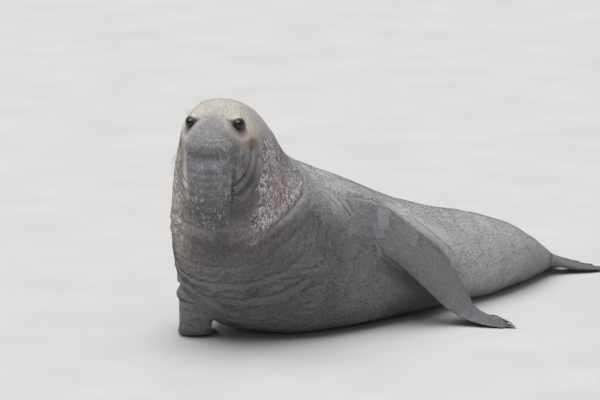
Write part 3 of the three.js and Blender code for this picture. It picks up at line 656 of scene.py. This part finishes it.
# Painted shade: where the nose meets the darker zone, mostly at its lower end, it goes near black.
colour = blended(tree, product(tree, slate, dark_and_shade, 0.7), colour, tint(58, 56, 60))
pale_share = product(tree, pale, spread(tree, blotches, 0.35, 0.65, 1.0, 0.55))
colour = blended(tree, pale_share, colour, tint(228, 217, 196))
colour = blended(tree, product(tree, rust, 0.9), colour, tint(119, 90, 66))
furrowed = product(tree, scarred, spread(tree, streaks, 0.58, 0.44),
                   spread(tree, scarred, 0.35, 0.9, 0.7, 0.3))
colour = blended(tree, furrowed, colour, tint(84, 78, 78))

# Old bites: raised, drawn-out scars, white, pink and dark, close together on the shield.
swirl = added(tree, "TexNoise", {"Vector": where, "Scale": 38, "Detail": 3}).outputs["Color"]
bent = added(tree, "VectorMath", {0: swirl, "Scale": 0.036}, operation="SCALE").outputs[0]
bent = added(tree, "VectorMath", {0: where, 1: bent}, operation="ADD").outputs[0]


def cells(scale, stretch, **settings):
    """Cells drawn out along the body's upright, with bent walls."""
    drawn = added(tree, "Mapping", {"Vector": bent, "Scale": (1, 1, stretch)}).outputs[0]
    sockets = {"Vector": drawn, "Scale": scale, "Randomness": 1.0}
    return added(tree, "TexVoronoi", sockets, **settings).outputs


def bites(scale, stretch, chance):
    """Where cells are light, how far inside each a point lies, and a number for each."""
    one, _, three = added(tree, "SeparateColor", {0: cells(scale, stretch)["Color"]}).outputs
    inside = spread(tree, cells(scale, stretch, feature="DISTANCE_TO_EDGE")["Distance"], 0.02, 0.16)
    return product(tree, inside, spread(tree, one, chance, chance + 0.12)), inside, three


wide, _, wide_number = bites(42, 0.62, 0.32)
narrow, narrow_inside, _ = bites(84, 0.50, 0.38)
bitten = spread(tree, scarred, 0.35, 0.8)
gaps = product(tree, bitten, spread(tree, narrow_inside, 0.9, 0.1), 0.65)
colour = blended(tree, gaps, colour, tint(78, 71, 71))
flesh_tone = blended(tree, spread(tree, wide_number, 0.35, 0.75), tint(218, 214, 216), tint(204, 178, 173))
bite_light = product(tree, bitten, spread(tree, blotches, 0.34, 0.50), wide)
colour = blended(tree, product(tree, bite_light, 0.8), colour, flesh_tone)
white = product(tree, bitten, narrow, spread(tree, patches, 0.32, 0.50))
colour = blended(tree, product(tree, white, 0.9), colour, tint(242, 240, 242))
sore = product(tree, raw, spread(tree, grain(tree, where, (1, 1, 0.6), 34, 4), 0.44, 0.60))
colour = blended(tree, product(tree, sore, 0.55), colour, tint(200, 148, 144))

# Thin scratches on the nose, and on the body here and there.
scratches = []
for scale, low, high in ((30, 0.46, 0.56), (52, 0.49, 0.59)):
    wall = cells(scale, 0.5, feature="DISTANCE_TO_EDGE")["Distance"]
    line = spread(tree, wall, 0.002 * scale, 0.0007 * scale)
    scratches.append(product(tree, line, spread(tree, cuts, low, high)))
scratch = added(tree, "Math", {0: scratches[0], 1: scratches[1]}, operation="MAXIMUM").outputs[0]
scratched = product(tree, scratch, sum_of(tree, 0.03, (slate, 0.44), (product(tree, slate, dark_and_shade), 0.16)),
                    spread(tree, blotches, 0.34, 0.56, 0.15, 1.0))
colour = blended(tree, scratched, colour, tint(216, 213, 214))
specks = product(tree, slate, spread(tree, cuts, 0.62, 0.72, 0, 0.55))
colour = blended(tree, specks, colour, tint(170, 166, 168))
colour = blended(tree, spread(tree, flecks, 0.38, 0.68, 0, 0.30), colour, tint(92, 87, 86))
colour = blended(tree, spread(tree, fur, 0.4, 0.7, 0, 0.14), colour, tint(205, 200, 195))
# Wet skin near black, partly painted shade along the mouth's folds.
colour = blended(tree, product(tree, wet_and_fold_shade, 0.90), colour, tint(42, 38, 38))
tree.links.new(colour, surface.inputs["Base Color"])

rise = sum_of(tree, 0.0, (fur, 0.30), (upright_fur, 0.20), (flecks, 0.25), (blotches, 0.8), (bite_light, 0.7),
              (white, 0.8), (gaps, -0.7), (scratched, 0.8))
bump = added(tree, "Bump", {"Height": rise, "Strength": 0.6, "Distance": 0.006})
tree.links.new(bump.outputs[0], surface.inputs["Normal"])
gloss = sum_of(tree, 0.56, (blotches, 0.22), (wet_and_fold_shade, -0.38))
gloss = added(tree, "Math", {0: gloss, 1: 0.95}, operation="MINIMUM")
tree.links.new(gloss.outputs[0], surface.inputs["Roughness"])
surface.inputs["Specular IOR Level"].default_value = 0.32
surface.inputs["Sheen Weight"].default_value = 0.10
surface.inputs["Sheen Roughness"].default_value = 0.4
skin.data.materials.clear()
skin.data.materials.append(hide)

# ---------------------------------------------------------------------------------------------
# Coat: short flat fur in small thin tufts of stiff hair, rooted in the skin and lying back
# along the body, finer on the face and the flippers. Each tuft is a closed sliver of four
# faces, and they are sown over the skin from a fixed seed.
# ---------------------------------------------------------------------------------------------
TUFTS = 350000
MOST_IN_PIECE = 48000
PATCH = 0.003  # how wide a tuft's place is on the coat's map

skin.data.calc_loop_triangles()
corners = np.zeros(len(skin.data.loop_triangles) * 3, np.int32)
skin.data.loop_triangles.foreach_get("vertices", corners)
corners = corners.reshape(-1, 3)
skin_normals = normals(skin.data)
a, b, c = (skin_places[corners[:, k]] for k in range(3))
middles = (a + b + c) / 3
place = folded_straight(middles)
on_face = ramp(-place[:, 1] + 0.55 * place[:, 2], 0.42, 0.72)
zones, marks = markings(middles)
density = np.linalg.norm(np.cross(b - a, c - a), axis=1) * (1 + 1.6 * on_face + 0.8 * zones[:, 3])
density *= (middles[:, 2] > 0.004) * (marks[:, 3] < 0.25) * (1 - 0.45 * marks[:, 0])
for centre, gaze, level, upright, _ in eyes.values():
    density *= openness(middles, centre, gaze, level, upright)[0] > 1.3
draw = np.random.default_rng(77)
chosen = draw.choice(len(corners), size=TUFTS, p=density / density.sum())
first, second = np.sqrt(draw.uniform(size=(TUFTS, 1))), draw.uniform(size=(TUFTS, 1))
shares = (1 - first, first * (1 - second), first * second)
roots = sum(share * skin_places[corners[chosen, k]] for k, share in enumerate(shares))
up = sum(share * skin_normals[corners[chosen, k]] for k, share in enumerate(shares))
up /= np.linalg.norm(up, axis=1)[:, None]
small = np.clip(0.85 * on_face[chosen] + 0.6 * zones[chosen, 3], 0, 0.85)
place = straightened(roots)

# The way the fur lies: up the nose, back over the head and body, down the throat, and out
# along the flippers.
throat_share = (1 - ramp(place[:, 1], 0.35, 1.0)) * (1 - ramp(place[:, 2], 1.15, 1.40))
back = np.array([0.0, 1.0, 0.0]) + throat_share[:, None] * np.array([0.0, -0.4, -1.3])
nose_share = ((1 - ramp(place[:, 1], -0.11, -0.05)) * (1 - ramp(np.abs(place[:, 0]), 0.15, 0.19)))[:, None]
back = back * (1 - nose_share) + nose_share * np.array([0.0, 0.3, 1.0])
lie = turned_way(back, place[:, 1])
limb_away, limb_along, limb_round = [], [], []
for line in FLIPPER_LINES.values():
    away, along = to_line(roots, line)
    lengths = np.concatenate([[0], np.cumsum(np.linalg.norm(np.diff(line, axis=0), axis=1))])
    spots = [np.column_stack([np.interp(np.clip(along + shift, 0, 1) * lengths[-1], lengths, line[:, k])
                              for k in range(3)]) for shift in (-0.06, 0, 0.06)]
    ahead = spots[2] - spots[0]
    ahead /= np.linalg.norm(ahead, axis=1)[:, None]
    on_it = (1 - ramp(away, 0.13, 0.19))[:, None]
    lie = lie * (1 - on_it) + ahead * on_it
    offset = roots - spots[1]
    limb_away.append(away)
    limb_along.append(along)
    limb_round.append(np.arctan2(offset @ np.array([0.6, -0.8, 0.0]), offset[:, 2]) / (2 * np.pi) + 0.5)
lie += 0.12 * draw.normal(size=(TUFTS, 3))
lie -= (lie * up).sum(axis=1)[:, None] * up
lie /= np.linalg.norm(lie, axis=1)[:, None]
across = np.cross(up, lie)
length = draw.uniform(0.010, 0.016, (TUFTS, 1)) * (1 - 0.55 * small)[:, None]
half = draw.uniform(0.0009, 0.0016, (TUFTS, 1)) * (1 - 0.45 * small)[:, None]
lift = draw.uniform(0.0004, 0.0012, (TUFTS, 1)) * (1 - 0.55 * small)[:, None]
depth = draw.uniform(0.0012, 0.0018, (TUFTS, 1)) * (1 - 0.3 * small)[:, None]
tufts = np.stack([roots + across * half, roots - across * half, roots - up * depth + lie * 0.15 * length,
                  roots + lie * length + up * lift], axis=1)
tufts[:, :, 2] = np.maximum(tufts[:, :, 2], np.array([0.0006, 0.0006, 0.0003, 0.0009]))
tuft_zones, tuft_marks = markings(roots)

# Each part of the coat has a map of its own, an unwrap of the skin under it: the head and neck
# round their upright middle, the body round its spine, and each flipper along its length.
nearest = np.argmin(limb_away, axis=0)
on_limb = np.min(limb_away, axis=0) < 0.16
turn = np.arctan2(place[:, 0], 0.16 - place[:, 1]) / (2 * np.pi) + 0.5
head_map = np.column_stack([turn, (place[:, 2] - 0.1) / 1.45])
over_spine = place[:, 2] - np.interp(place[:, 1], (0.8, 1.5, 3.2), (0.62, 0.36, 0.1))
round_spine = np.arctan2(place[:, 0], over_spine)
body_map = np.column_stack([round_spine / (2 * np.pi) + 0.5, (place[:, 1] - 0.2) / 3.5])
limb_turn = np.choose(nearest, limb_round)
limb_map = np.column_stack([(nearest + 0.06 + 0.88 * limb_turn) / 4,
                            0.03 + 0.94 * np.choose(nearest, limb_along)])
upper = (place[:, 1] < 0.45) & (place[:, 2] > 0.95)
regions = {
    "coat_flippers": (on_limb, limb_map),
    "coat_head": (~on_limb & upper, head_map),
    "coat_neck": (~on_limb & ~upper & (place[:, 1] < 0.80), head_map),
    "coat_body": (~on_limb & (place[:, 1] >= 0.80), body_map),
}
SIDES = np.array([(0, 1, 3), (0, 3, 2), (1, 2, 3), (0, 2, 1)])
SPOT_MAP = np.array([(-0.5, -0.5), (0.5, -0.5), (0.0, -0.1), (0.0, 0.5)]) * PATCH
for region, (inside, flat_map) in regions.items():
    members = np.nonzero(inside)[0]
    members = members[np.argsort(place[members, 1], kind="stable")]
    for index, group in enumerate(np.array_split(members, math.ceil(len(members) / MOST_IN_PIECE))):
        faces = (np.arange(len(group))[:, None, None] * 4 + SIDES).reshape(-1, 3)
        mesh = bpy.data.meshes.new(f"{region}_{index + 1}")
        mesh.vertices.add(4 * len(group))
        mesh.vertices.foreach_set("co", tufts[group].ravel())
        mesh.loops.add(faces.size)
        mesh.loops.foreach_set("vertex_index", faces.ravel().astype(np.int32))
        mesh.polygons.add(len(faces))
        mesh.polygons.foreach_set("loop_start", np.arange(0, faces.size, 3, dtype=np.int32))
        mesh.update(calc_edges=True)
        flat = (np.clip(flat_map[group], 0.003, 0.997)[:, None, :] + SPOT_MAP).reshape(-1, 2)
        layer = mesh.uv_layers.new(name="OFBake")
        layer.data.foreach_set("uv", flat[faces.ravel()].astype(np.float32).ravel())
        paint(mesh, np.repeat(tuft_zones[group], 4, axis=0), np.repeat(tuft_marks[group], 4, axis=0))
        mesh.materials.append(hide)
        coat = shown(mesh.name, mesh)
        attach(coat, "root")

# ---------------------------------------------------------------------------------------------
# Eyes: large dark eyeballs, each a wet ball with a bulging cornea over a near-black iris.
# ---------------------------------------------------------------------------------------------
eye_matter, tree, surface = new_material("eye")
where = added(tree, "TexCoord").outputs["Object"]
ring = added(tree, "Attribute", attribute_name="iris_ring").outputs["Fac"]
threads = grain(tree, where, (1, 1, 1), 160, 4)
# Painted reflection: the bluish tint in these near-black colours stands in for the sky reflected in the eye.
iris_and_painted_sky = blended(tree, spread(tree, threads, 0.4, 0.65), tint(17, 18, 24), tint(32, 33, 41))
colour = blended(tree, spread(tree, ring, 0.40, 0.46), tint(6, 6, 7), iris_and_painted_sky)
colour = blended(tree, spread(tree, ring, 0.80, 0.90), colour, tint(26, 22, 22))
tree.links.new(colour, surface.inputs["Base Color"])
surface.inputs["Roughness"].default_value = 0.08
surface.inputs["Specular IOR Level"].default_value = 0.2
surface.inputs["Coat Weight"].default_value = 0.6
surface.inputs["Coat Roughness"].default_value = 0.03

for name, (centre, gaze, level, upright, _) in eyes.items():
    ball = bmesh.new()
    bmesh.ops.create_uvsphere(ball, u_segments=48, v_segments=32, radius=EYE_RADIUS)
    ring_layer = ball.verts.layers.float.new("iris_ring")
    for vertex in ball.verts:
        x, y, z = vertex.co
        off = math.hypot(x, y) / EYE_RADIUS
        vertex[ring_layer] = off if z > 0 else 1.0
        swell = 1 + (0.06 * math.exp(-((off / 0.62) ** 4)) if z > 0 else 0.0)
        vertex.co = Vector(centre + swell * (x * level + y * upright + z * gaze))
    bmesh.ops.recalc_face_normals(ball, faces=ball.faces)
    mesh = bpy.data.meshes.new(name.replace("eye", "eyeball"))
    ball.to_mesh(mesh)
    ball.free()
    mesh.shade_smooth()
    mesh.materials.append(eye_matter)
    eyeball = shown(mesh.name, mesh)
    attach(eyeball, "root")
    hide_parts(name)

# ---------------------------------------------------------------------------------------------
# Claws: short blunt nails of dark horn at the ends of the fore flippers' five digits, each
# drawn out ring by ring from a root sunk in the digit to a rounded tip.
# ---------------------------------------------------------------------------------------------
horn, tree, surface = new_material("horn")
where = added(tree, "TexCoord").outputs["Object"]
worn = grain(tree, where, (1, 1, 1), 60, 5)
colour = blended(tree, spread(tree, worn, 0.38, 0.66), tint(46, 40, 36), tint(98, 86, 76))
tree.links.new(colour, surface.inputs["Base Color"])
fine_grain = grain(tree, where, (1, 1, 1), 300, 3)
bump = added(tree, "Bump", {"Height": fine_grain, "Strength": 0.35, "Distance": 0.001})
tree.links.new(bump.outputs[0], surface.inputs["Normal"])
surface.inputs["Roughness"].default_value = 0.42

NAIL_ROOT = 0.010  # how far the nail's root is sunk behind the solid claw's own
NAIL_RINGS = 8
for side in ("left", "right"):
    line = FLIPPER_LINES[f"fore_flipper_{side}"]
    outward = (line[-1] - line[-2]) / np.linalg.norm(line[-1] - line[-2])
    for digit in range(1, 6):
        node = f"claw_{side}_{digit}"
        claw_places = coordinates(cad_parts[node].data)
        reach = claw_places @ outward
        start = claw_places[reach < np.quantile(reach, 0.2)].mean(axis=0)
        way = claw_places[reach.argmax()] - start
        long = np.linalg.norm(way) + NAIL_ROOT
        way /= np.linalg.norm(way)
        start = start - way * NAIL_ROOT
        flat_side = np.cross([0, 0, 1], way)
        flat_side /= np.linalg.norm(flat_side)
        rise = np.cross(way, flat_side)
        nail = bmesh.new()
        bmesh.ops.create_circle(nail, cap_ends=True, segments=12, radius=1.0)
        edges = list(nail.edges)
        rings = [list(nail.verts)]
        for _ in range(NAIL_RINGS):
            grown = bmesh.ops.extrude_edge_only(nail, edges=edges)["geom"]
            edges = [item for item in grown if isinstance(item, bmesh.types.BMEdge)]
            rings.append([item for item in grown if isinstance(item, bmesh.types.BMVert)])
        bmesh.ops.holes_fill(nail, edges=edges, sides=0)
        for index, ring in enumerate(rings):
            share = index / NAIL_RINGS
            round_tip = math.sqrt(max(1 - share**5, 0.03))
            width = 0.0068 * (1 - 0.25 * share) * round_tip
            height = 0.0050 * (1 - 0.45 * share) * round_tip
            centre = start + way * long * share + rise * 0.0045 * math.sin(math.pi * share)
            for vertex in ring:
                spot = centre + flat_side * (vertex.co.x * width) + rise * (vertex.co.y * height)
                vertex.co = Vector((spot[0], spot[1], max(spot[2], LOWEST)))
        bmesh.ops.recalc_face_normals(nail, faces=nail.faces)
        mesh = bpy.data.meshes.new(f"nail_{side}_{digit}")
        nail.to_mesh(mesh)
        nail.free()
        mesh.materials.append(horn)
        mesh.shade_smooth()
        piece = shown(mesh.name, mesh)
        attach(piece, "root")
        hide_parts(node)

# ---------------------------------------------------------------------------------------------
# Whiskers: stiff tapered bristles of pale horn in rows on the upper lip, with a few above
# each eye. Each is a thin tube along its own curve, rooted in the skin.
# ---------------------------------------------------------------------------------------------
bristle, tree, surface = new_material("bristle")
where = added(tree, "TexCoord").outputs["Object"]
bands = spread(tree, grain(tree, where, (1, 1, 1), 90, 2), 0.35, 0.65)
tree.links.new(blended(tree, bands, tint(96, 84, 72), tint(176, 164, 146)), surface.inputs["Base Color"])
surface.inputs["Roughness"].default_value = 0.38

draw = np.random.default_rng(31)
skin_straight = straightened(skin_places)
bristles = bpy.data.curves.new("bristles", "CURVE")
bristles.dimensions = "3D"
bristles.bevel_depth = 0.0009
bristles.bevel_resolution = 1
bristles.use_fill_caps = True
BEND = 6
for side in (1, -1):
    pads = [(0.182 - 0.004 * row, -0.045 + 0.016 * column + 0.004 * row, 1.235 - 0.022 * row)
            for row in range(5) for column in range(4)]
    brows = [(0.138 + 0.012 * k, 0.010 * k, 1.436 + 0.004 * (k % 2)) for k in range(4)]
    for index, (x, y, z) in enumerate(pads + brows):
        target = np.array([side * x, y, z]) + draw.normal(size=3) * 0.003
        root_index = np.argmin(((skin_straight - target) ** 2).sum(axis=1))
        root, normal = skin_places[root_index], skin_normals[root_index]
        brow = index >= len(pads)
        drop = turned_way(np.array([0.0, -0.15, 0.6 if brow else -0.75]), skin_straight[root_index, 1])
        long = draw.uniform(0.035, 0.060) if brow else draw.uniform(0.060, 0.120)
        spline = bristles.splines.new("POLY")
        spline.points.add(BEND)
        for step, point in enumerate(spline.points):
            share = step / BEND
            out_way = normal * (share - 0.35 * share**2) + drop * 0.75 * share**1.7
            point.co = (*(root - normal * 0.004 + out_way * long), 1)
            point.radius = 1 - 0.8 * share
curve_piece = shown("bristles", bristles)
depsgraph = bpy.context.evaluated_depsgraph_get()
mesh = bpy.data.meshes.new_from_object(curve_piece.evaluated_get(depsgraph))
bpy.data.objects.remove(curve_piece)
mesh.name = "whiskers"
mesh.materials.clear()
mesh.materials.append(bristle)
mesh.shade_smooth()
whiskers = shown("whiskers", mesh)
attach(whiskers, "root")

# ---------------------------------------------------------------------------------------------
# Floor, light and camera: a pale floor under a wide soft sky, seen from the photo's place.
# ---------------------------------------------------------------------------------------------
ground = bmesh.new()
bmesh.ops.create_grid(ground, x_segments=1, y_segments=1, size=60)
ground_mesh = bpy.data.meshes.new("floor")
ground.to_mesh(ground_mesh)
ground.free()
plaster, tree, surface = new_material("plaster")
where = added(tree, "TexCoord").outputs["Object"]
shade = spread(tree, grain(tree, where, (1, 1, 1), 1.5, 3), 0.3, 0.7)
tree.links.new(blended(tree, shade, tint(196, 194, 191), tint(203, 201, 198)), surface.inputs["Base Color"])
surface.inputs["Roughness"].default_value = 0.9
ground_mesh.materials.append(plaster)
shown("floor", ground_mesh)

CAMERA_AZIMUTH = math.radians(47.5)
CAMERA_ELEVATION = math.radians(11.0)
CAMERA_DISTANCE = 20.0
FOCAL_PIXELS = 3360.0
PICTURE_WIDTH = 600
METRES_PER_PIXEL = 0.00578  # at the eyes
EYE_PIXEL = 215.5  # from the picture's left edge to the middle between the eyes
rightward = np.array([math.cos(CAMERA_AZIMUTH), math.sin(CAMERA_AZIMUTH), 0])
onward = np.array([-math.sin(CAMERA_AZIMUTH), math.cos(CAMERA_AZIMUTH), 0])
backward = -onward * math.cos(CAMERA_ELEVATION) + np.array([0, 0, math.sin(CAMERA_ELEVATION)])
target = eye_middle + rightward * (PICTURE_WIDTH / 2 - EYE_PIXEL) * METRES_PER_PIXEL + onward * 0.6
target[2] = 0.819
camera_data = bpy.data.cameras.new("camera")
camera_data.sensor_width = 36.0
camera_data.lens = camera_data.sensor_width * FOCAL_PIXELS / PICTURE_WIDTH
camera_data.clip_end = 200
camera = bpy.data.objects.new("camera", camera_data)
bpy.context.scene.collection.objects.link(camera)
camera.location = target + backward * CAMERA_DISTANCE
camera.rotation_euler = (math.pi / 2 - CAMERA_ELEVATION, 0, CAMERA_AZIMUTH)
bpy.context.scene.camera = camera
bpy.context.scene.view_settings.view_transform = "Standard"

world = bpy.data.worlds.new("sky")
bpy.context.scene.world = world
world.use_nodes = True
world.node_tree.nodes["Background"].inputs["Color"].default_value = tint(224, 228, 234)
world.node_tree.nodes["Background"].inputs["Strength"].default_value = 0.46
sky_data = bpy.data.lights.new("overhead", "SUN")
sky_data.energy = 3.1
sky_data.angle = math.radians(60)
sky_light = bpy.data.objects.new("overhead", sky_data)
bpy.context.scene.collection.objects.link(sky_light)
sky_way = rightward * 0.20 + onward * 0.22 - np.array([0, 0, 1.0])
sky_light.rotation_euler = Vector(sky_way).to_track_quat("-Z", "Y").to_euler()
